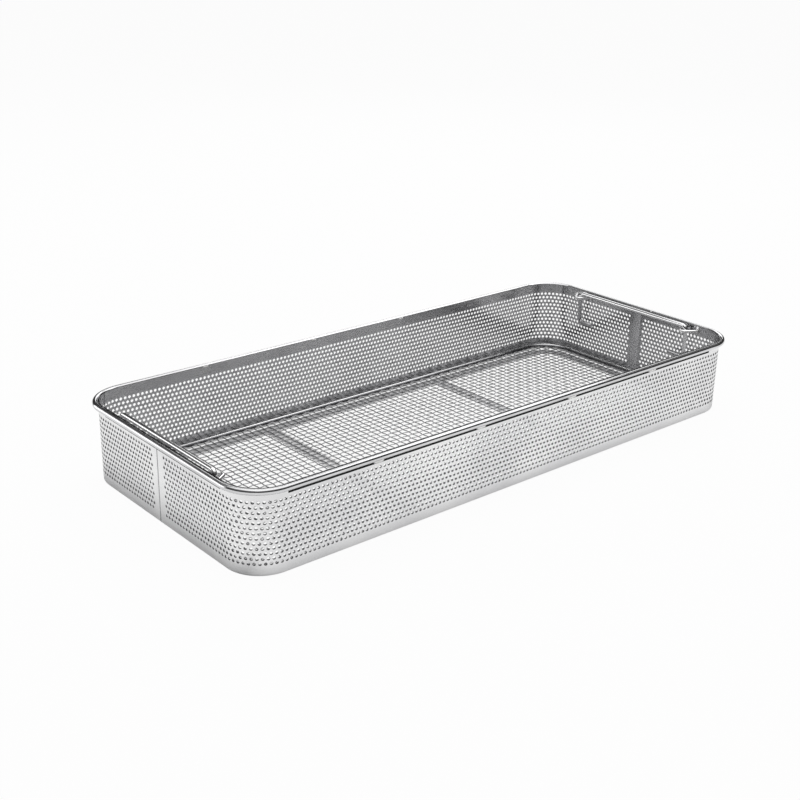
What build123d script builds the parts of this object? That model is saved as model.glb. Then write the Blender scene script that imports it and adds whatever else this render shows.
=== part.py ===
from build123d import *
import math
import os

# A perforated autoclave basket: two punched wall halves lapped at the short ends, a rod
# round the rim, a woven mesh floor on a flat frame, and a drop handle in wire loops at each end.
# X runs along the basket, Y across it and Z up. The origin is the middle of its underside.

# Walls
wall_length = 540.0       # over the outside of the sheet, along X
wall_width = 233.0        # over the outside of the sheet, along Y
height = 70.0             # from the underside to the top of the rim rod
corner_radius = 30.5      # outside of the upright corners
sheet = 0.8               # gauge of the wall sheet
bend_radius = 3.0         # outside of the bend from the wall into its flange
flange_width = 7.0        # flange at the foot, from the outside of the wall
edge_drop = 0.8           # top edge of the sheet, below the top of the rim rod
seam_offset = 3.0         # middle of the strip without holes, to the side of the short wall's centre
seam_edge = 3.5           # where the outer half ends, to the side of the short wall's centre
seam_lap = 7.4            # width over which one half lies on the other
seam_plain = 14.0         # width left without holes at a seam
seam_gap = 0.1            # between the outer edge of one half and the step of the other
step_overlap = 3.0        # length of the lap tab that is joined to its own half

# Punched holes
hole_size = 11.0          # from corner to corner
hole_sides = 4            # a round hole is cut with few sides, to keep the sheet light
hole_pitch = 26.0         # along a row
row_pitch = 12.7          # from row to row, each row shifted by half a pitch
plain_foot = 9.6          # height of the band without holes at the foot
plain_top = 10.2          # height of the band without holes under the top edge

# Rim rod
rim_rod = 4.8             # diameter
wire_sides = 8            # flats round every rod and wire, which stand for a round section
weld_gap = 0.05           # between two welded pieces that touch along a line

# Mesh floor
floor_wire = 1.1          # diameter of the woven wires
floor_inset = 5.0         # edge of the mesh, from the outside of the wall
mesh_border = 4.0         # closed edge round the mesh
mesh_pitch = 36.0
mesh_gap = 29.8           # side of one square gap
ridge_width = 1.6

# Flat frame under the mesh
frame_sheet = 0.8
frame_strip = 10.0        # width of the ring
frame_inset = 11.0        # outer edge of the ring, from the outside of the wall
frame_corner = 30.0       # outer corner radius of the ring
cross_bar = 13.2          # width of a cross bar
cross_bar_gap = 200.0     # between the middles of the two cross bars
cross_bar_shift = 3.5     # of the two, to the left of the basket's middle

# Drop handles and the loops that hold them
handle_wire = 4.0
handle_span = 134.0       # between the middles of the legs
handle_drop = 30.0        # middle of the bar above the middle of the feet
handle_foot = 16.5        # length of a foot, from the middle of its leg
handle_bend = 4.5         # bend radius at the middle of the wire
handle_stand_off = 5.2    # middle of the legs, from the inside of the wall
loop_wire = 3.0
loop_width = 19.0         # between the middles of its two ends, at the wall
loop_depth = 11.0         # middle of its tip, from the inside of the wall
loop_play = 0.6           # between the loop's bend and a leg that lies in it
rest_gap = 0.3            # between the handle and what stops it, at either end of its travel

# Sizes that follow
inside_x = wall_length / 2 - sheet
sheet_top = height - edge_drop
mesh_low = sheet
frame_low = mesh_low - frame_sheet
handle_x = inside_x - handle_stand_off
bar_height = height - handle_wire / 2
loop_height = bar_height - handle_wire / 2 - rest_gap - loop_wire / 2
foot_height = bar_height - handle_drop
handle_travel = loop_height - loop_wire / 2 - rest_gap - handle_wire / 2 - foot_height


def rounded_block(inset, low, high):
    """A block with the basket's plan, its sides drawn in by the inset."""
    plan = RectangleRounded(wall_length - 2 * inset, wall_width - 2 * inset, corner_radius - inset)
    return Pos(0, 0, low) * extrude(plan, high - low)


def bent_sheet():
    """The whole wall before it is divided: an upright sheet, a bend and an inward flange."""
    outer = rounded_block(0, 0, sheet_top)
    outer = fillet(outer.edges().group_by(Axis.Z)[0], bend_radius)
    inner = rounded_block(sheet, sheet, sheet_top)
    inner = fillet(inner.edges().group_by(Axis.Z)[0], bend_radius - sheet)
    return outer - inner - rounded_block(flange_width, 0, sheet)


def half_line():
    """The middle of the sheet in plan, from seam to seam along the front."""
    side = wall_length / 2 - sheet / 2
    front = -wall_width / 2 + sheet / 2
    return FilletPolyline(
        (-side, seam_offset), (-side, front), (side, front), (side, -seam_offset),
        radius=corner_radius - sheet / 2,
    )


def punched_holes():
    """Prisms through the sheet in staggered rows, square to it on the flats and round the corners."""
    line = half_line()
    first = seam_plain / 2 + hole_size / 2
    columns = int((line.length - 2 * first) / hole_pitch + 0.5)
    spacing = (line.length - 2 * first) / (columns + 0.5)
    band = sheet_top - plain_top - plain_foot
    rows = int((band - hole_size) / row_pitch) + 1
    lowest = plain_foot + band / 2 - (rows - 1) * row_pitch / 2
    outline = RegularPolygon(hole_size / 2, hole_sides)
    holes = []
    for row in range(rows):
        for column in range(columns + 1):
            along = first + (column + 0.5 * (row % 2)) * spacing
            point = line.position_at(along, position_mode=PositionMode.LENGTH)
            tangent = line.tangent_at(along, position_mode=PositionMode.LENGTH)
            place = Plane(
                origin=(point.X, point.Y, lowest + row * row_pitch),
                x_dir=tangent,
                z_dir=(tangent.Y, -tangent.X, 0),
            )
            holes.append(extrude(place * outline, amount=2 * sheet, both=True))
    return holes


def wall_half():
    """The front half: its left end is plain, and its right end has a tab stepped in by one sheet."""
    left = Pos(-wall_length / 2, -wall_width / 2, height / 2)
    left = left * Box(wall_length, wall_width + 2 * seam_edge, 2 * height)
    right = Pos(wall_length / 2, -wall_width / 2, height / 2)
    right = right * Box(wall_length, wall_width - 2 * (seam_edge + seam_gap), 2 * height)
    half = bent_sheet() & (left + right)
    tab_low = -seam_edge - seam_gap - step_overlap
    tab_high = seam_lap - seam_edge
    tab = Pos(inside_x - sheet / 2, (tab_low + tab_high) / 2, (sheet_top + bend_radius) / 2)
    tab = tab * Box(sheet, tab_high - tab_low, sheet_top - bend_radius)
    return half + tab - punched_holes()


def wire(line, diameter, flat):
    """A drawn wire along a line that lies square to the flat direction: straight lengths and round bends."""
    lengths = []
    for edge in line.edges():
        start = edge.position_at(0)
        ahead = edge.tangent_at(0)
        section = Plane(start, x_dir=flat, z_dir=ahead) * RegularPolygon(diameter / 2, wire_sides)
        if edge.geom_type == GeomType.LINE:
            lengths.append(extrude(section, edge.length))
        else:
            centre = edge.arc_center
            axis = Axis(centre, (start - centre).cross(ahead))
            turn = math.degrees(edge.length / edge.radius)
            lengths.append(revolve(section, axis, turn))
    return lengths[0].fuse(*lengths[1:])


def rim():
    """One closed rod, welded along the outside of the top edge."""
    out = rim_rod / 2 + weld_gap
    plan = RectangleRounded(wall_length + 2 * out, wall_width + 2 * out, corner_radius + out)
    line = Pos(0, 0, height - rim_rod / 2) * plan.wire()
    return wire(line, rim_rod, (0, 0, 1))


def mesh_floor():
    """The mesh as a lower layer with square gaps, and a ridge along each upper wire."""
    size_x = wall_length - 2 * floor_inset
    size_y = wall_width - 2 * floor_inset
    columns = int(size_x / mesh_pitch)
    rows = int(size_y / mesh_pitch)
    outline = RectangleRounded(size_x, size_y, corner_radius - floor_inset)
    field = RectangleRounded(
        size_x - 2 * mesh_border, size_y - 2 * mesh_border, corner_radius - floor_inset - mesh_border
    )
    gaps = GridLocations(mesh_pitch, mesh_pitch, columns, rows) * Rectangle(mesh_gap, mesh_gap)
    lower = extrude(outline - (field & Sketch(gaps)), floor_wire)
    lines = GridLocations(mesh_pitch, mesh_pitch, 1, rows + 1) * Rectangle(size_x, ridge_width)
    upper = extrude(field & Sketch(lines), floor_wire)
    return Pos(0, 0, mesh_low) * (lower + Pos(0, 0, floor_wire) * upper)


def frame_ring():
    """A flat ring under the mesh, level with the flange."""
    size_x = wall_length - 2 * frame_inset
    size_y = wall_width - 2 * frame_inset
    outline = RectangleRounded(size_x, size_y, frame_corner)
    hole_corner = frame_corner - frame_strip
    hole = RectangleRounded(size_x - 2 * frame_strip, size_y - 2 * frame_strip, hole_corner)
    return Pos(0, 0, frame_low) * extrude(outline - hole, frame_sheet)


def frame_bar():
    """A flat bar across the ring, welded to its inner edges."""
    length = wall_width - 2 * (frame_inset + frame_strip)
    return Pos(0, 0, frame_low) * extrude(Rectangle(cross_bar, length), frame_sheet)


def handle():
    """A bent wire: a bar along Y, two legs down, and two feet turned towards each other."""
    leg = handle_span / 2
    points = [
        (leg - handle_foot, foot_height),
        (leg, foot_height),
        (leg, bar_height),
        (-leg, bar_height),
        (-leg, foot_height),
        (-leg + handle_foot, foot_height),
    ]
    line = FilletPolyline(*[(handle_x, y, z) for y, z in points], radius=handle_bend)
    return wire(line, handle_wire, (1, 0, 0))


def loop():
    """A wire bent to a V round a handle's leg, its ends cut flush with the inside of the wall."""
    radius = handle_wire / 2 + loop_play + loop_wire / 2
    centre_x = inside_x - loop_depth + radius
    reach = math.hypot(loop_depth - radius, loop_width / 2)
    turn = math.atan2(loop_width / 2, loop_depth - radius) + math.acos(radius / reach)
    bend_x = centre_x + radius * math.cos(turn)
    bend_y = radius * math.sin(turn)
    past_x = inside_x + loop_wire
    past_y = loop_width / 2 + loop_wire * (loop_width / 2 - bend_y) / (inside_x - bend_x)
    line = Wire([
        Edge.make_line((past_x, past_y), (bend_x, bend_y)),
        Edge.make_three_point_arc((bend_x, bend_y), (centre_x - radius, 0), (bend_x, -bend_y)),
        Edge.make_line((bend_x, -bend_y), (past_x, -past_y)),
    ])
    bent = wire(Pos(0, 0, loop_height) * line, loop_wire, (0, 0, 1))
    return split(bent, Plane.YZ.offset(inside_x), keep=Keep.BOTTOM)


def opposite(piece):
    """The same piece at the other end of the basket."""
    return Rot(0, 0, 180) * piece


half = wall_half()
bar = frame_bar()
bail = handle()
pieces = {
    "front_wall": half,
    "rear_wall": opposite(half),
    "rim_rod": rim(),
    "floor_mesh": mesh_floor(),
    "floor_frame": frame_ring(),
    "left_cross_bar": Pos(-cross_bar_gap / 2 - cross_bar_shift, 0, 0) * bar,
    "right_cross_bar": Pos(cross_bar_gap / 2 - cross_bar_shift, 0, 0) * bar,
    "left_handle": opposite(bail),
    "right_handle": bail,
}
for side, y in (("front", -handle_span / 2), ("rear", handle_span / 2)):
    ring = Pos(0, y, 0) * loop()
    pieces["right_" + side + "_loop"] = ring
    pieces["left_" + side + "_loop"] = opposite(Pos(0, -y, 0) * loop())

os.makedirs("parts", exist_ok=True)
for name, piece in pieces.items():
    export_step(piece, "parts/" + name + ".step")
print("handle travel", round(handle_travel, 3))
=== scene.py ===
import math

import bpy
import numpy as np
from mathutils import Matrix, Vector


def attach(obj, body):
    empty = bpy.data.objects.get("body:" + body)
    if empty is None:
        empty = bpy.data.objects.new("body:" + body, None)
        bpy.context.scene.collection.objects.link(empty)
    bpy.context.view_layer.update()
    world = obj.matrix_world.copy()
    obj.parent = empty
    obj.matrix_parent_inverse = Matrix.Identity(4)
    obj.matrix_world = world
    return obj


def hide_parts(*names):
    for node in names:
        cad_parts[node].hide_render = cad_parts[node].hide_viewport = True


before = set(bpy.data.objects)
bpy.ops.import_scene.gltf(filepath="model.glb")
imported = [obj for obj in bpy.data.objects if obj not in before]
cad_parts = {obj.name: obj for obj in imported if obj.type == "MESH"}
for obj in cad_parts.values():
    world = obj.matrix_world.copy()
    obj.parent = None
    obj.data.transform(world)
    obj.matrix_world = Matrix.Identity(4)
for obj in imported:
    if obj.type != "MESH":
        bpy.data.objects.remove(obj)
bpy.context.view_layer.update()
mm = 0.001
print("frame loaded")


# Meshes

def addMesh(name, points, faceGroups, materials, sharpAngle=35.0):
    # faceGroups holds (faces, material index) pairs, faces being an array of corner indices in mm space
    corners = [np.asarray(faces, dtype=np.int32) for faces, _ in faceGroups]
    sizes = np.concatenate([np.full(len(c), c.shape[1], dtype=np.int32) for c in corners])
    slots = np.concatenate([np.full(len(c), index, dtype=np.int32) for c, (_, index) in zip(corners, faceGroups)])
    loops = np.concatenate([c.ravel() for c in corners])
    mesh = bpy.data.meshes.new(name)
    mesh.vertices.add(len(points))
    mesh.vertices.foreach_set("co", (np.asarray(points) * mm).astype(np.float32).ravel())
    mesh.loops.add(len(loops))
    mesh.loops.foreach_set("vertex_index", loops)
    mesh.polygons.add(len(sizes))
    mesh.polygons.foreach_set("loop_start", np.concatenate([[0], np.cumsum(sizes)[:-1]]).astype(np.int32))
    for material in materials:
        mesh.materials.append(material)
    mesh.polygons.foreach_set("material_index", slots)
    mesh.polygons.foreach_set("use_smooth", np.ones(len(sizes), dtype=bool))
    mesh.update(calc_edges=True)
    mesh.validate()
    mesh.set_sharp_from_angle(angle=math.radians(sharpAngle))
    piece = bpy.data.objects.new(name, mesh)
    bpy.context.scene.collection.objects.link(piece)
    return piece


def dress(piece, body, nodes=()):
    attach(piece, body)
    if nodes:
        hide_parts(*nodes)
    return piece


def tube(path, normals, radius, sides, closed=False, domeSteps=0):
    # a circle carried along the path: each ring's points are path + radius * (cos * side + sin * flat),
    # where flat is the fixed normal of the bending plane and side is square to it and to the tangent
    ahead = np.gradient(path, axis=0)
    if closed:
        ahead = np.roll(path, -1, axis=0) - np.roll(path, 1, axis=0)
    ahead /= np.linalg.norm(ahead, axis=1)[:, None]
    flat = np.broadcast_to(np.asarray(normals, dtype=float), path.shape)
    side = np.cross(flat, ahead)
    side /= np.linalg.norm(side, axis=1)[:, None]
    flat = np.cross(ahead, side)
    scale = np.full(len(path), radius)
    if domeSteps:  # round both ends off: extra rings step outwards while the circle shrinks
        angle = np.linspace(0, math.pi / 2, domeSteps + 1)[1:]
        reach, shrink = radius * 0.6 * np.sin(angle), radius * np.cos(angle)
        shrink[-1] = radius * 0.02
        first = path[0] - ahead[0] * reach[::-1, None]
        last = path[-1] + ahead[-1] * reach[:, None]
        path = np.vstack([first, path, last])
        side = np.vstack([np.repeat(side[:1], domeSteps, 0), side, np.repeat(side[-1:], domeSteps, 0)])
        flat = np.vstack([np.repeat(flat[:1], domeSteps, 0), flat, np.repeat(flat[-1:], domeSteps, 0)])
        scale = np.concatenate([shrink[::-1], scale, shrink])
    turn = np.arange(sides) * 2 * math.pi / sides
    points = (path[:, None, :] + scale[:, None, None] * (
        np.cos(turn)[None, :, None] * side[:, None, :] + np.sin(turn)[None, :, None] * flat[:, None, :]))
    rings = len(path)
    i, j = np.meshgrid(np.arange(rings if closed else rings - 1), np.arange(sides), indexing="ij")
    nextRing, nextSide = (i + 1) % rings, (j + 1) % sides
    quads = np.stack([i * sides + j, nextRing * sides + j, nextRing * sides + nextSide, i * sides + nextSide], -1)
    quads = quads.reshape(-1, 4)[:, ::-1]
    points = points.reshape(-1, 3)
    if closed:
        return points, quads, np.zeros((0, 3), dtype=int)
    ends = np.vstack([path[:1], path[-1:]])
    k = np.arange(sides)
    low = np.stack([np.full(sides, len(points)), k, (k + 1) % sides], -1)
    high = np.stack([np.full(sides, len(points) + 1), (rings - 1) * sides + (k + 1) % sides,
                     (rings - 1) * sides + k], -1)
    return np.vstack([points, ends]), quads, np.vstack([low, high])[:, ::-1]


def bentLine(corners, radius, step=0.6):
    # straight runs joined by tangent arcs: at each corner an arc of the radius replaces the tip,
    # its points being the arc's centre plus radius times the two unit directions weighted by cos and sin
    corners = np.asarray(corners, dtype=float)
    line = [corners[0]]
    for before, tip, after in zip(corners[:-2], corners[1:-1], corners[2:]):
        incoming = (tip - before) / np.linalg.norm(tip - before)
        outgoing = (after - tip) / np.linalg.norm(after - tip)
        turn = math.acos(np.clip(incoming @ outgoing, -1, 1))
        back = radius * math.tan(turn / 2)
        inward = outgoing - incoming * (incoming @ outgoing)
        inward /= np.linalg.norm(inward)
        centre = tip - incoming * back + inward * radius
        angle = np.linspace(0, turn, max(4, int(turn * radius / step)))
        line += list(centre + radius * (np.sin(angle)[:, None] * incoming - np.cos(angle)[:, None] * inward))
    line.append(corners[-1])
    return np.array(line)


def join(parts):
    # stacks (points, quads, triangles) of several closed shapes into one
    points, quads, triangles, count = [], [], [], 0
    for p, q, t in parts:
        points.append(p)
        quads.append(q + count)
        triangles.append(t + count)
        count += len(p)
    return np.vstack(points), np.vstack(quads), np.vstack(triangles)


# Materials

def steel(name, look):
    # metal whose grey, roughness and fine relief each follow their own noise on Object coordinates
    material = bpy.data.materials.new(name)
    material.use_nodes = True
    nodes, links = material.node_tree.nodes, material.node_tree.links
    shader = nodes["Principled BSDF"]
    shader.inputs["Metallic"].default_value = 1.0
    place = nodes.new("ShaderNodeTexCoord")
    cloud = nodes.new("ShaderNodeTexNoise")
    cloud.inputs["Scale"].default_value = look["cloudScale"]
    cloud.inputs["Detail"].default_value = 4.0
    links.new(place.outputs["Object"], cloud.inputs["Vector"])
    tone = nodes.new("ShaderNodeValToRGB")
    tone.color_ramp.elements[0].position, tone.color_ramp.elements[1].position = 0.32, 0.68
    tone.color_ramp.elements[0].color = (*look["dark"], 1)
    tone.color_ramp.elements[1].color = (*look["light"], 1)
    links.new(cloud.outputs["Fac"], tone.inputs["Fac"])
    # where given, this fade is a painted shade, darker upwards
    if "fade" in look:  # the grey is scaled from one down to the last of the three between two heights
        height = nodes.new("ShaderNodeSeparateXYZ")
        fall = nodes.new("ShaderNodeMapRange")
        fall.inputs["From Min"].default_value, fall.inputs["From Max"].default_value = look["fade"][:2]
        fall.inputs["To Min"].default_value, fall.inputs["To Max"].default_value = 1.0, look["fade"][2]
        scaled = nodes.new("ShaderNodeVectorMath")
        scaled.operation = "SCALE"
        links.new(place.outputs["Object"], height.inputs["Vector"])
        links.new(height.outputs["Z"], fall.inputs["Value"])
        links.new(tone.outputs["Color"], scaled.inputs["Vector"])
        links.new(fall.outputs["Result"], scaled.inputs["Scale"])
        links.new(scaled.outputs["Vector"], shader.inputs["Base Color"])
    else:
        links.new(tone.outputs["Color"], shader.inputs["Base Color"])
    stretch = nodes.new("ShaderNodeMapping")
    stretch.inputs["Scale"].default_value = look["grainStretch"]
    links.new(place.outputs["Object"], stretch.inputs["Vector"])
    grain = nodes.new("ShaderNodeTexNoise")
    grain.inputs["Scale"].default_value = look["grainScale"]
    grain.inputs["Detail"].default_value = 3.0
    links.new(stretch.outputs["Vector"], grain.inputs["Vector"])
    gloss = nodes.new("ShaderNodeMapRange")
    gloss.inputs["To Min"].default_value, gloss.inputs["To Max"].default_value = look["roughness"]
    links.new(grain.outputs["Fac"], gloss.inputs["Value"])
    links.new(gloss.outputs["Result"], shader.inputs["Roughness"])
    relief = nodes.new("ShaderNodeBump")
    relief.inputs["Strength"].default_value = look["relief"]
    relief.inputs["Distance"].default_value = 0.0002
    links.new(grain.outputs["Fac"], relief.inputs["Height"])
    links.new(relief.outputs["Normal"], shader.inputs["Normal"])
    return material


sheetSteel = steel("sheetSteel", dict(
    dark=(0.74, 0.74, 0.75), light=(0.88, 0.88, 0.88), cloudScale=14.0,
    grainStretch=(4.0, 4.0, 24.0), grainScale=40.0, roughness=(0.14, 0.30), relief=0.05))
# a shaded copy of the sheet's steel for the inner faces: painted shade, greyer than the outside and darker again
# towards the top
shadedInsideSteel = steel("shadedInsideSteel", dict(
    dark=(0.62, 0.62, 0.63), light=(0.78, 0.78, 0.79), cloudScale=18.0, fade=(0.010, 0.058, 0.86),
    grainStretch=(4.0, 4.0, 24.0), grainScale=40.0, roughness=(0.10, 0.20), relief=0.03))
# painted shade for the lowest faces of each hole's wall
holeShadeSteel = steel("holeShadeSteel", dict(
    dark=(0.02, 0.02, 0.02), light=(0.12, 0.12, 0.12), cloudScale=300.0,
    grainStretch=(1.0, 1.0, 1.0), grainScale=900.0, roughness=(0.35, 0.6), relief=0.2))
# painted shade, near black: the rod's shadow and crevice on the band under the rim and on the wall's top edge
rodShadeSteel = steel("rodShadeSteel", dict(
    dark=(0.008, 0.008, 0.008), light=(0.03, 0.03, 0.03), cloudScale=120.0,
    grainStretch=(1.0, 1.0, 1.0), grainScale=600.0, roughness=(0.4, 0.6), relief=0.2))
# painted shade for the inner flange and the lowest steps of the inner bend
footShadeSteel = steel("footShadeSteel", dict(
    dark=(0.16, 0.16, 0.17), light=(0.27, 0.27, 0.28), cloudScale=40.0,
    grainStretch=(4.0, 4.0, 24.0), grainScale=40.0, roughness=(0.14, 0.26), relief=0.03))
rodSteel = steel("rodSteel", dict(
    dark=(0.60, 0.60, 0.61), light=(0.74, 0.74, 0.75), cloudScale=30.0,
    grainStretch=(1.0, 1.0, 1.0), grainScale=60.0, roughness=(0.07, 0.13), relief=0.01))
# the steel of the handle wires and loops, also a painted highlight on the upper steps of the inner bend
wireAndHighlightSteel = steel("wireAndHighlightSteel", dict(
    dark=(0.84, 0.84, 0.85), light=(0.94, 0.94, 0.94), cloudScale=30.0,
    grainStretch=(1.0, 1.0, 1.0), grainScale=60.0, roughness=(0.05, 0.12), relief=0.01))
# a shaded copy of the wire steel: painted shade on the bails' legs below the loops
shadedLegSteel = steel("shadedLegSteel", dict(
    dark=(0.46, 0.46, 0.47), light=(0.62, 0.62, 0.63), cloudScale=60.0,
    grainStretch=(30.0, 30.0, 4.0), grainScale=40.0, roughness=(0.10, 0.20), relief=0.02))
meshSteel = steel("meshSteel", dict(
    dark=(0.40, 0.40, 0.41), light=(0.56, 0.56, 0.57), cloudScale=60.0,
    grainStretch=(1.0, 1.0, 1.0), grainScale=500.0, roughness=(0.16, 0.30), relief=0.05))
stripSteel = steel("stripSteel", dict(
    dark=(0.84, 0.84, 0.85), light=(0.97, 0.97, 0.97), cloudScale=25.0,
    grainStretch=(60.0, 6.0, 6.0), grainScale=40.0, roughness=(0.60, 0.76), relief=0.10))
weldSteel = steel("weldSteel", dict(
    dark=(0.68, 0.67, 0.66), light=(0.90, 0.90, 0.90), cloudScale=400.0,
    grainStretch=(1.0, 1.0, 1.0), grainScale=700.0, roughness=(0.25, 0.45), relief=0.3))


# Punched walls

wall = dict(
    length=540.0, width=233.0, cornerRadius=30.5, sheet=0.8, top=69.2, bend=3.0, flange=7.0,
    hem=1.9, innerBend=1.6, bendSteps=5, darkSteps=2,
    seamOffset=3.0, seamEdge=3.5, seamLap=7.4, seamPlain=14.0, seamGap=1.4, lapJoin=3.0, lapBevel=0.25,
    shadeBandLow=61.7, clearOfCorner=4.0, plainColumns=4,
    holeDiameter=2.6, holeDrop=0.42, holeSides=12, holeShadeBelow=-0.70, holePitch=4.0,
    rows=13, rowPitch=3.97, firstRow=10.8)


def alongWall(along, depth):
    # the plan of the front half: straight, a quarter circle and straight again on either side of its
    # middle. along is measured on the middle of the sheet from the middle of the front, and depth
    # inwards from the outer face. Returns x and y.
    half = wall["sheet"] / 2
    straight = wall["length"] / 2 - wall["cornerRadius"]
    rest = wall["width"] / 2 - wall["cornerRadius"]
    radius = wall["cornerRadius"] - half
    arc = radius * math.pi / 2
    side, run = np.sign(along), np.abs(along)
    turn = np.clip((run - straight) / radius, 0, math.pi / 2)
    outX, outY = side * np.sin(turn), -np.cos(turn)
    x = side * np.minimum(run, straight) + radius * outX
    y = -rest + radius * outY + np.maximum(run - straight - arc, 0)
    return x + outX * (half - depth), y + outY * (half - depth)


def ringBridge(outer, inner):
    # triangles between two rings of points round one centre, given by their angles: the ring that
    # lags behind in angle is the one that steps forward
    triangles, i, j = [], 0, 0
    outer, inner = list(outer), list(inner)
    m, n = len(outer), len(inner)
    angleOut = outer + [a + 2 * math.pi for a in outer[:1]]
    angleIn = inner + [a + 2 * math.pi for a in inner[:1]]
    while i < m or j < n:
        stepOut = j >= n or (i < m and (angleOut[i] + angleOut[i + 1]) < (angleIn[j] + angleIn[j + 1]))
        if stepOut:
            triangles.append((i % m, (i + 1) % m, m + j % n))
            i += 1
        else:
            triangles.append((i % m, m + (j + 1) % n, m + j % n))
            j += 1
    return np.array(triangles)


def wallHalf():
    # one closed sheet. Its section, a wall, a bend and a flange, is carried along the plan on a grid of
    # half hole pitches, and every hole cell of that grid is two half pitches wide and one row high.
    # A cell's face is a ring of triangles between its six grid points and its round hole.
    # The outside bends to a flange of no height. The inside bends tighter, down to the height of the hem.
    sheet, radius = wall["sheet"], wall["holeDiameter"] / 2
    quarter = (wall["cornerRadius"] - sheet / 2) * math.pi / 2
    reach = wall["length"] / 2 - wall["cornerRadius"] + quarter + wall["width"] / 2 - wall["cornerRadius"]
    leftEnd = -(reach + wall["seamEdge"] - wall["seamGap"] / 2)
    rightEnd = reach - wall["seamEdge"] - wall["seamGap"] / 2
    leftHoles = -(reach + wall["seamOffset"] - wall["seamPlain"] / 2)
    rightHoles = reach - wall["seamOffset"] - wall["seamPlain"] / 2
    columns = round((rightHoles - leftHoles) / wall["holePitch"] - 0.5)
    step = (rightHoles - leftHoles) / (2 * columns + 1)
    gridAlong = leftHoles + step * np.arange(2 * columns + 2)
    firstColumn = wall["plainColumns"]
    along = np.concatenate([np.linspace(leftEnd, leftHoles, firstColumn + 1)[:-1], gridAlong,
                            np.linspace(rightHoles, rightEnd, 3)[1:]])
    rowLines = wall["firstRow"] + wall["rowPitch"] * (np.arange(wall["rows"] + 1)[::-1] - 0.5)
    bendTurn = np.linspace(0, math.pi / 2, wall["bendSteps"] + 1)

    def section(inset, bend, foot):
        depth = np.concatenate([[inset] * (len(rowLines) + 2), inset + bend * (1 - np.cos(bendTurn)),
                                [wall["flange"]]])
        high = np.concatenate([[wall["top"], wall["shadeBandLow"]], rowLines,
                               foot + bend * (1 - np.sin(bendTurn)), [foot]])
        return depth, high

    outer = section(0.0, wall["bend"], 0.0)
    inner = section(sheet, wall["innerBend"], wall["hem"])
    depth = np.concatenate([outer[0], inner[0][::-1]])
    high = np.concatenate([outer[1], inner[1][::-1]])
    around, perSide = len(depth), len(outer[0])
    gridX, gridY = alongWall(along[:, None], depth[None, :])
    grid = np.stack([gridX, gridY, np.broadcast_to(high, gridX.shape)], -1).reshape(-1, 3)

    i, j = np.meshgrid(np.arange(len(along) - 1), np.arange(around), indexing="ij")
    quads = np.stack([i * around + j, i * around + (j + 1) % around,
                      (i + 1) * around + (j + 1) % around, (i + 1) * around + j], -1)
    row = np.where(j < perSide, j - 2, around - 4 - j)
    column = i - firstColumn
    odd = row % 2
    punched = ((row >= 0) & (row < wall["rows"]) & (column >= odd) & (column < 2 * columns + odd))
    # the painted shade band under the rod, for its shadow and crevice, stops short of the rounded corners; the
    # wall's top edge face gets that shade too
    bendFrom = wall["length"] / 2 - wall["cornerRadius"] - wall["clearOfCorner"]
    middle = np.abs(along[i] + along[i + 1]) / 2
    flat = (middle < bendFrom) | (middle > bendFrom + quarter + 2 * wall["clearOfCorner"])
    shade = ((j == 0) & flat | (j == around - 1)) & ~punched
    underRodShadeFaces = quads[shade]
    # inside, the flange and the lowest steps of the bend get a painted shade, and its other steps a painted
    # highlight
    brightFrom, brightTo = perSide + 1 + wall["darkSteps"], perSide + 1 + wall["bendSteps"]
    footShadeMask = (j >= perSide) & (j < brightFrom)
    bendHighlightMask = (j >= brightFrom) & (j < brightTo)
    inside = quads[(j >= perSide) & ~punched & ~shade & ~footShadeMask & ~bendHighlightMask]
    foot, bend = quads[footShadeMask], quads[bendHighlightMask]
    quads = quads[~punched & ~shade & (j < perSide)]
    cap = np.arange(perSide - 1)
    last = (len(along) - 1) * around
    startCap = np.stack([cap, around - 1 - cap, around - 2 - cap, cap + 1], -1)
    quads = np.vstack([quads, startCap, last + startCap[:, ::-1]])

    holeRow, holeColumn = np.meshgrid(np.arange(wall["rows"]), np.arange(columns), indexing="ij")
    holeRow, holeColumn = holeRow.ravel(), holeColumn.ravel()
    start = firstColumn + 2 * holeColumn + holeRow % 2
    count = len(start)
    centre = along[start + 1]
    level = (rowLines[holeRow] + rowLines[holeRow + 1]) / 2
    turn = np.arange(wall["holeSides"]) * 2 * math.pi / wall["holeSides"]
    holeAlong = centre[:, None] + radius * np.cos(turn)
    holeHigh = level[:, None] + radius * np.sin(turn)
    rims = []
    for inset, lift in ((0.0, -wall["holeDrop"] / 2), (sheet, wall["holeDrop"] / 2)):
        x, y = alongWall(holeAlong, np.full_like(holeAlong, inset))
        rims.append(np.stack([x, y, holeHigh + lift], -1).reshape(-1, 3))
    points = np.vstack([grid, *rims])

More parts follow.
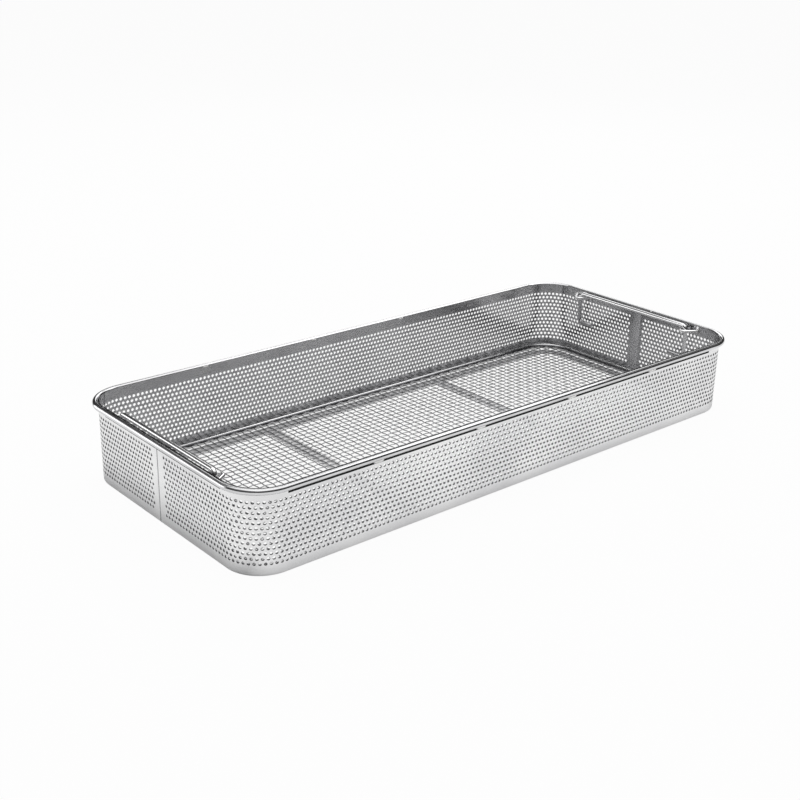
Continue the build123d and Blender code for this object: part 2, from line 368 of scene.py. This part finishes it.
    # corner order of a cell: right foot, right top, middle top, left top, left foot, middle foot
    across, up = np.array([2, 2, 1, 0, 0, 1]), np.array([1, 0, 0, 0, 1, 1])
    cellAngle = np.arctan2((0.5 - up) * wall["rowPitch"], (across - 1) * step)
    order = np.argsort(np.mod(cellAngle + 0.8, 2 * math.pi))
    across, up, cellAngle = across[order], up[order], cellAngle[order]
    cellAngle = np.unwrap(cellAngle)
    shift = int(round(cellAngle[0] / (turn[1]))) % wall["holeSides"]
    holeOrder = (np.arange(wall["holeSides"]) + shift) % wall["holeSides"]
    ringAngle = cellAngle[0] + np.arange(wall["holeSides"]) * turn[1]
    template = ringBridge(cellAngle, ringAngle)
    sides = wall["holeSides"]
    outerIndex = (start[:, None] + across) * around + (2 + holeRow[:, None] + up)
    innerIndex = (start[:, None] + across) * around + (around - 3 - holeRow[:, None] - up)
    rimOuter = len(grid) + np.arange(count)[:, None] * sides + holeOrder
    rimInner = rimOuter + count * sides
    outerFaces = np.hstack([outerIndex, rimOuter])[:, template].reshape(-1, 3)
    innerFaces = np.hstack([innerIndex, rimInner])[:, template[:, ::-1]].reshape(-1, 3)
    nextOuter, nextInner = np.roll(rimOuter, -1, axis=1), np.roll(rimInner, -1, axis=1)
    holeFaces = np.stack([rimOuter, rimInner, nextInner, nextOuter], -1)
    # the lowest faces of each hole's wall get a painted shade; the rest keep the outer steel
    low = np.sin((holeOrder + 0.5) * turn[1]) < wall["holeShadeBelow"]
    return dict(points=points, quads=quads, outer=outerFaces, insideQuads=inside, inner=innerFaces,
                holes=holeFaces[:, ~low].reshape(-1, 4), shadedHoleWalls=holeFaces[:, low].reshape(-1, 4), underRodShadeFaces=underRodShadeFaces,
                foot=foot, bend=bend)


def lapTab():
    # the tongue stepped in by one sheet behind the other half: a thin closed strip, its section a
    # rectangle with short bevels, from the foot of the wall to its top
    low = -wall["seamEdge"] - wall["seamGap"] - wall["lapJoin"]
    high = wall["seamLap"] - wall["seamEdge"]
    x = wall["length"] / 2 - wall["sheet"]
    bevel = wall["lapBevel"]
    outline = np.array([(x, low), (x, high), (x - wall["sheet"] + bevel, high),
                        (x - wall["sheet"], high - bevel), (x - wall["sheet"], low + 2.0)])
    levels = np.array([wall["bend"] + 0.2, wall["top"]])
    points = np.vstack([np.c_[outline, np.full(5, level)] for level in levels])
    k = np.arange(5)
    quads = np.stack([k, (k + 1) % 5, (k + 1) % 5 + 5, k + 5], -1)
    fan = np.array([(0, i + 1, i) for i in range(1, 4)])
    return points, quads, np.vstack([fan, 5 + fan[:, ::-1]])


half = wallHalf()
tabPoints, tabQuads, tabTriangles = lapTab()
tabQuads, tabTriangles = tabQuads + len(half["points"]), tabTriangles + len(half["points"])
halfPoints = np.vstack([half["points"], tabPoints])
groups = [(half["quads"], 0), (half["outer"], 0), (half["insideQuads"], 1), (half["inner"], 1), (half["holes"], 0),
          (half["shadedHoleWalls"], 2), (half["underRodShadeFaces"], 3), (half["foot"], 4), (half["bend"], 5),
          (tabQuads, 1), (tabTriangles, 1)]
for name, node, turned in (("frontSheet", "front_wall", (1, 1, 1)), ("rearSheet", "rear_wall", (-1, -1, 1))):
    piece = addMesh(name, halfPoints * np.array(turned), groups,
                    [sheetSteel, shadedInsideSteel, holeShadeSteel, rodShadeSteel, footShadeSteel, wireAndHighlightSteel])
    dress(piece, "root", [node])
print("walls punched")


# Rim rod

rim = dict(diameter=4.8, gap=0.05, top=70.0, sides=20, step=1.5)


def roundedLoop(halfX, halfY, radius, level, step):
    # four quarter circles joined by straight runs, in points at about even steps
    parts = []
    for quadrant, (sx, sy) in enumerate(((1, 1), (-1, 1), (-1, -1), (1, -1))):
        turn = np.linspace(0, math.pi / 2, int(radius * 1.571 / step)) + quadrant * math.pi / 2
        parts.append(np.c_[sx * (halfX - radius) + radius * np.cos(turn),
                           sy * (halfY - radius) + radius * np.sin(turn)])
    plan = np.vstack(parts)
    return np.c_[plan, np.full(len(plan), level)]


rimOut = rim["diameter"] / 2 + rim["gap"]
rimLine = roundedLoop(wall["length"] / 2 + rimOut, wall["width"] / 2 + rimOut, wall["cornerRadius"] + rimOut,
                      rim["top"] - rim["diameter"] / 2, rim["step"])
rimPoints, rimQuads, _ = tube(rimLine, (0, 0, 1), rim["diameter"] / 2, rim["sides"], closed=True)
rimRod = addMesh("rimRod", rimPoints, [(rimQuads, 0)], [rodSteel])
dress(rimRod, "root", ["rim_rod"])


# Woven floor

weave = dict(wire=1.0, pitch=6.5, crimp=0.26, inset=5.0, low=0.8, sides=6, stepsPerPitch=3)


def wovenWires(alongLength, acrossLength, cornerRadius, sign):
    # straight wires side by side, each rising and falling as a cosine over and under the wires that
    # cross it; next to a rounded corner a wire is as long as the circle leaves it
    count = int(acrossLength / weave["pitch"]) + 1
    offset = (np.arange(count) - (count - 1) / 2) * weave["pitch"]
    past = np.maximum(np.abs(offset) - (acrossLength / 2 - cornerRadius), 0)
    cut = cornerRadius - np.sqrt(np.maximum(cornerRadius ** 2 - past ** 2, 0))
    half = alongLength / 2 - cut
    crossings = int(alongLength / weave["pitch"]) + 1
    samples = int(crossings * weave["stepsPerPitch"])
    along = np.linspace(-1, 1, samples)[None, :] * half[:, None]
    phase = np.round(offset / weave["pitch"] + (count - 1) / 2)[:, None]
    crossPhase = (along / weave["pitch"] + (crossings - 1) / 2)
    rise = sign * weave["crimp"] * np.cos(math.pi * (crossPhase + phase))
    return along, np.broadcast_to(offset[:, None], along.shape), rise


def wireBundle(name, along, across, rise, swap, middle):
    # each wire is a row of small rings: a hexagon square to the wire at every sample
    wires, samples = along.shape
    sides = weave["sides"]
    turn = (np.arange(sides) + 0.5) * 2 * math.pi / sides
    tilt = np.gradient(rise, axis=1) / np.gradient(along, axis=1)
    lean = 1 / np.sqrt(1 + tilt ** 2)
    radius = weave["wire"] / 2
    a = along[..., None] - radius * np.sin(turn) * (tilt * lean)[..., None]
    b = across[..., None] + radius * np.cos(turn)
    c = middle + rise[..., None] + radius * np.sin(turn) * lean[..., None]
    points = np.stack([b, a, c] if swap else [a, b, c], -1).reshape(-1, 3)
    w, i, j = np.meshgrid(np.arange(wires), np.arange(samples - 1), np.arange(sides), indexing="ij")
    base = w * samples * sides
    quads = np.stack([base + i * sides + j, base + i * sides + (j + 1) % sides,
                      base + (i + 1) * sides + (j + 1) % sides, base + (i + 1) * sides + j], -1).reshape(-1, 4)
    first = (np.arange(wires) * samples * sides)[:, None] + np.arange(sides)
    last = first + (samples - 1) * sides
    caps = np.vstack([first[:, ::-1], last])
    if not swap:
        quads, caps = quads[:, ::-1], caps[:, ::-1]
    return addMesh(name, points, [(quads, 0), (caps, 0)], [meshSteel], sharpAngle=62.0)


floorX, floorY = wall["length"] - 2 * weave["inset"], wall["width"] - 2 * weave["inset"]
floorCorner = wall["cornerRadius"] - weave["inset"]
floorMiddle = weave["low"] + weave["wire"] / 2 + weave["crimp"]
longWires = wireBundle("longWires", *wovenWires(floorX, floorY, floorCorner, 1), False, floorMiddle)
crossWires = wireBundle("crossWires", *wovenWires(floorY, floorX, floorCorner, -1), True, floorMiddle)
dress(longWires, "root", ["floor_mesh"])
dress(crossWires, "root", ["floor_mesh"])
print("floor woven")


# Floor frame and cross bars keep their solids

for node in ("floor_frame", "left_cross_bar", "right_cross_bar"):
    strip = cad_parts[node]
    strip.data.materials.clear()
    strip.data.materials.append(stripSteel)


# Drop handles and their loops

handle = dict(wire=4.0, span=134.0, drop=30.0, foot=16.5, bend=4.5, standOff=5.2, sides=20)
loop = dict(wire=3.0, width=19.0, depth=11.0, play=0.6, restGap=0.3, sides=16)
handleX = wall["length"] / 2 - wall["sheet"] - handle["standOff"]
barHeight = rim["top"] - handle["wire"] / 2
loopHeight = barHeight - handle["wire"] / 2 - loop["restGap"] - loop["wire"] / 2


def bailLine():
    # a foot, a leg, the bar, the other leg and its foot, all in one upright plane, with rounded corners
    leg, foot = handle["span"] / 2, barHeight - handle["drop"]
    yz = [(leg - handle["foot"], foot), (leg, foot), (leg, barHeight), (-leg, barHeight), (-leg, foot),
          (-leg + handle["foot"], foot)]
    return bentLine([(handleX, y, z) for y, z in yz], handle["bend"])


def loopLine(middle):
    # a V whose tip is an arc about the leg, its arms tangent to the arc and ending in the wall
    radius = handle["wire"] / 2 + loop["play"] + loop["wire"] / 2
    wallX = wall["length"] / 2 - wall["sheet"]
    back = loop["depth"] - radius
    turn = math.atan2(loop["width"] / 2, back) + math.acos(radius / math.hypot(back, loop["width"] / 2))
    angle = np.linspace(turn, 2 * math.pi - turn, 20)
    arc = np.c_[wallX - back + radius * np.cos(angle), middle + radius * np.sin(angle)]
    ends = np.array([[wallX, middle + loop["width"] / 2], [wallX, middle - loop["width"] / 2]])
    line = np.vstack([ends[:1], arc, ends[1:]])
    return np.c_[line, np.full(len(line), loopHeight)]


for side, flip in (("right", np.array([1, 1, 1])), ("left", np.array([-1, -1, 1]))):
    body = side + "_handle"
    p, q, t = tube(bailLine(), (1, 0, 0), handle["wire"] / 2, handle["sides"], domeSteps=4)
    # the bail's faces below the loops get the legs' painted shade, the others the wire steel
    shadedLegFaces = p[q[:, 0], 2] < loopHeight - loop["wire"] / 2
    bail = addMesh(side + "Bail", p * flip, [(q[~shadedLegFaces], 0), (q[shadedLegFaces], 1), (t, 1)], [wireAndHighlightSteel, shadedLegSteel])
    dress(bail, body, [body])
    for place, y in (("front", -handle["span"] / 2), ("rear", handle["span"] / 2)):
        p, q, t = tube(loopLine(y * flip[1]), (0, 0, 1), loop["wire"] / 2, loop["sides"])
        ring = addMesh(side + place.capitalize() + "Loop", p * flip, [(q, 0), (t, 0)], [wireAndHighlightSteel])
        dress(ring, "root", [side + "_" + place + "_loop"])
print("handles bent")


# Welds

weld = dict(tack=10.5, tackRadius=1.55, tackX=(-157.0, -54.5, 49.0, 152.0), tackOut=0.8, tackHigh=64.3,
            edge=5.0, edgeRadius=0.7, edgeDrop=0.9, edgeX=(-157.0, -42.0, 62.0),
            joint=0.8, jointRadius=2.3, jointY=18.5, jointIn=0.3, foot=0.3, footRadius=1.9, footIn=1.0,
            swell=0.12, ripple=0.05, rippleTurn=4.2, sides=12)


def bead(middle, direction, length, radius):
    # a short run of weld: a circle carried along a straight line, its ends domed. Its radius is scaled by
    # one plus a cosine that falls from swell in the middle to nothing at the ends, plus a small ripple
    t = np.linspace(-1, 1, 9)
    path = np.asarray(middle, dtype=float) + np.outer(t * length / 2, direction)
    points, quads, triangles = tube(path, (0, 0, 1), radius, weld["sides"], domeSteps=3)
    along = (points - middle) @ np.asarray(direction, dtype=float)
    swell = (1 + weld["swell"] * np.cos(along / (length / 2 + radius) * math.pi / 2)
             + weld["ripple"] * np.cos(along * weld["rippleTurn"] / radius))
    core = np.asarray(middle) + np.outer(along, direction)
    return core + (points - core) * swell[:, None], quads, triangles


tackY = wall["width"] / 2 + weld["tackOut"]
edgeY = wall["width"] / 2 - wall["sheet"]
loopX = wall["length"] / 2 - wall["sheet"] - weld["footIn"]
tacks = [bead((x, y, weld["tackHigh"]), (1, 0, 0), weld["tack"] - 2 * weld["tackRadius"], weld["tackRadius"])
         for x in weld["tackX"] for y in (-tackY, tackY)]
edges = [bead((x * sign, edgeY * sign, wall["top"] - weld["edgeDrop"]), (1, 0, 0), weld["edge"], weld["edgeRadius"])
         for x in weld["edgeX"] for sign in (1, -1)]
joint = bead((wall["length"] / 2 + rim["diameter"] / 2 + rim["gap"] - weld["jointIn"], -weld["jointY"],
              rim["top"] - rim["diameter"] / 2 - weld["jointIn"]), (0, 1, 0), weld["joint"], weld["jointRadius"])
feet = [bead((side * loopX, y + arm * loop["width"] / 2, loopHeight), (1, 0, 0), weld["foot"], weld["footRadius"])
        for side in (-1, 1) for y in (-handle["span"] / 2, handle["span"] / 2) for arm in (-1, 1)]
for name, slotName, parts in (("rimTacks", "rim_rod", tacks), ("edgeTacks", "wall_sheet", edges),
                              ("rodJoint", "rim_rod", [joint]), ("loopWelds", "loop_wire", feet)):
    p, q, t = join(parts)
    dress(addMesh(name, p, [(q, 0), (t, 0)], [weldSteel]), "root")
print("welds laid")


# Floor, light and camera

studio = dict(floorHalf=14.0, floorGrey=0.92, floorGlow=0.96, glossGlow=0.85, shadeX=0.270, shadeY=0.104,
              shadeSoft=0.03, dark=0.05, zenith=0.30)


def clearOfBasket(nodes, links):
    # a painted shadow under the basket for mirrored rays. 0 on the floor under the basket, rising to the full share
    # over a short way outside it:
    # the larger of how far x and y lie past the basket's foot, mapped to a share
    place = nodes.new("ShaderNodeTexCoord")
    split = nodes.new("ShaderNodeSeparateXYZ")
    links.new(place.outputs["Object"], split.inputs["Vector"])
    past = []
    for axis, foot in (("X", studio["shadeX"]), ("Y", studio["shadeY"])):
        size = nodes.new("ShaderNodeMath")
        size.operation = "ABSOLUTE"
        links.new(split.outputs[axis], size.inputs[0])
        over = nodes.new("ShaderNodeMath")
        over.operation = "SUBTRACT"
        over.inputs[1].default_value = foot
        links.new(size.outputs["Value"], over.inputs[0])
        past.append(over)
    larger = nodes.new("ShaderNodeMath")
    larger.operation = "MAXIMUM"
    links.new(past[0].outputs["Value"], larger.inputs[0])
    links.new(past[1].outputs["Value"], larger.inputs[1])
    share = nodes.new("ShaderNodeMapRange")
    share.inputs["From Max"].default_value = studio["shadeSoft"]
    share.inputs["To Max"].default_value = studio["glossGlow"]
    links.new(larger.outputs["Value"], share.inputs["Value"])
    return share.outputs["Result"]


def addStage():
    # a pale floor. What the camera sees of it is mostly a white of strength 1, and the rest is lit and
    # holds the shadow. Mirrored rays get a share of that white too, left out under the basket as a painted shadow.
    half = studio["floorHalf"]
    mesh = bpy.data.meshes.new("studioFloor")
    mesh.from_pydata([(-half, -half, 0), (half, -half, 0), (half, half, 0), (-half, half, 0)], [], [(0, 1, 2, 3)])
    floor = bpy.data.objects.new("studioFloor", mesh)
    bpy.context.scene.collection.objects.link(floor)
    material = bpy.data.materials.new("paleFloor")
    material.use_nodes = True
    nodes, links = material.node_tree.nodes, material.node_tree.links
    shader = nodes["Principled BSDF"]
    shader.inputs["Base Color"].default_value = (*[studio["floorGrey"]] * 3, 1)
    shader.inputs["Roughness"].default_value = 0.9
    shader.inputs["Specular IOR Level"].default_value = 0.0
    glow = nodes.new("ShaderNodeEmission")
    glow.inputs["Color"].default_value = (1, 1, 1, 1)
    rays = nodes.new("ShaderNodeLightPath")
    mirrored = nodes.new("ShaderNodeMath")
    mirrored.operation = "MAXIMUM"
    links.new(rays.outputs["Is Glossy Ray"], mirrored.inputs[0])
    links.new(rays.outputs["Is Transmission Ray"], mirrored.inputs[1])
    part = nodes.new("ShaderNodeMath")
    part.operation = "MULTIPLY"
    links.new(mirrored.outputs["Value"], part.inputs[0])
    links.new(clearOfBasket(nodes, links), part.inputs[1])
    seen = nodes.new("ShaderNodeMath")
    seen.operation = "MULTIPLY_ADD"
    seen.inputs[1].default_value = studio["floorGlow"]
    links.new(rays.outputs["Is Camera Ray"], seen.inputs[0])
    links.new(part.outputs["Value"], seen.inputs[2])
    mix = nodes.new("ShaderNodeMixShader")
    links.new(seen.outputs["Value"], mix.inputs["Fac"])
    links.new(shader.outputs["BSDF"], mix.inputs[1])
    links.new(glow.outputs["Emission"], mix.inputs[2])
    links.new(mix.outputs["Shader"], nodes["Material Output"].inputs["Surface"])
    mesh.materials.append(material)


def addWorld():
    # a dark room with a paler ceiling, and white where the camera looks past the floor
    world = bpy.data.worlds.new("studio")
    bpy.context.scene.world = world
    world.use_nodes = True
    nodes, links = world.node_tree.nodes, world.node_tree.links
    place = nodes.new("ShaderNodeTexCoord")
    split = nodes.new("ShaderNodeSeparateXYZ")
    links.new(place.outputs["Generated"], split.inputs["Vector"])
    ramp = nodes.new("ShaderNodeValToRGB")
    ramp.color_ramp.elements[0].position = 0.45
    ramp.color_ramp.elements[0].color = (*[studio["dark"]] * 3, 1)
    ramp.color_ramp.elements[1].position = 0.85
    ramp.color_ramp.elements[1].color = (*[studio["zenith"]] * 3, 1)
    links.new(split.outputs["Z"], ramp.inputs["Fac"])
    rays = nodes.new("ShaderNodeLightPath")
    pale = nodes.new("ShaderNodeMix")
    pale.data_type = "RGBA"
    colours = [socket for socket in pale.inputs if socket.type == "RGBA"]
    colours[1].default_value = (1, 1, 1, 1)
    links.new(rays.outputs["Is Camera Ray"], pale.inputs[0])
    links.new(ramp.outputs["Color"], colours[0])
    links.new([socket for socket in pale.outputs if socket.type == "RGBA"][0], nodes["Background"].inputs["Color"])
    nodes["Background"].inputs["Strength"].default_value = 1.0


def addLamp(name, place, aim, size, radiance):
    # a soft box given by how bright its face is: power is radiance times pi times its area
    lamp = bpy.data.lights.new(name, "AREA")
    lamp.shape = "RECTANGLE"
    lamp.size, lamp.size_y = size
    lamp.energy = radiance * math.pi * size[0] * size[1]
    thing = bpy.data.objects.new(name, lamp)
    thing.location = place
    thing.rotation_euler = (Vector(aim) - Vector(place)).to_track_quat("-Z", "Y").to_euler()
    thing.visible_camera = False
    bpy.context.scene.collection.objects.link(thing)


addStage()
addWorld()
addLamp("rightPanel", (1.20, -0.08, 1.50), (0, 0, 0), (1.9, 0.6), 1.6)
addLamp("farRightPanel", (1.20, 1.20, 1.00), (0, 0, 0), (1.3, 0.8), 1.6)
addLamp("lowPanel", (-1.33, 1.41, 0.50), (0, 0, 0.05), (1.8, 0.96), 1.7)
addLamp("topPanel", (0.0, 0.0, 1.9), (0, 0, 0), (2.3, 2.3), 1.1)

view = dict(turn=-40.648, rise=21.805, roll=1.055, distance=1196.996, aim=(36.204, 84.937, 0.0), lens=56.67)


def addCamera():
    # the camera looks at the aim point from the given turn and rise, then rolls about its own axis
    turn, rise, roll = (math.radians(view[k]) for k in ("turn", "rise", "roll"))
    back = Vector((math.sin(turn) * math.cos(rise), -math.cos(turn) * math.cos(rise), math.sin(rise)))
    right = Vector((math.cos(turn), math.sin(turn), 0))
    up = back.cross(right)
    rolledRight = right * math.cos(roll) + up * math.sin(roll)
    rolledUp = up * math.cos(roll) - right * math.sin(roll)
    place = (Vector(view["aim"]) + back * view["distance"]) * mm
    data = bpy.data.cameras.new("camera")
    data.lens, data.sensor_width, data.clip_start = view["lens"], 36.0, 0.01
    camera = bpy.data.objects.new("camera", data)
    axes = Matrix((rolledRight, rolledUp, back)).transposed().to_4x4()
    camera.matrix_world = Matrix.Translation(place) @ axes
    bpy.context.scene.collection.objects.link(camera)
    bpy.context.scene.camera = camera


addCamera()
bpy.context.scene.view_settings.view_transform = "Standard"
bpy.context.view_layer.update()
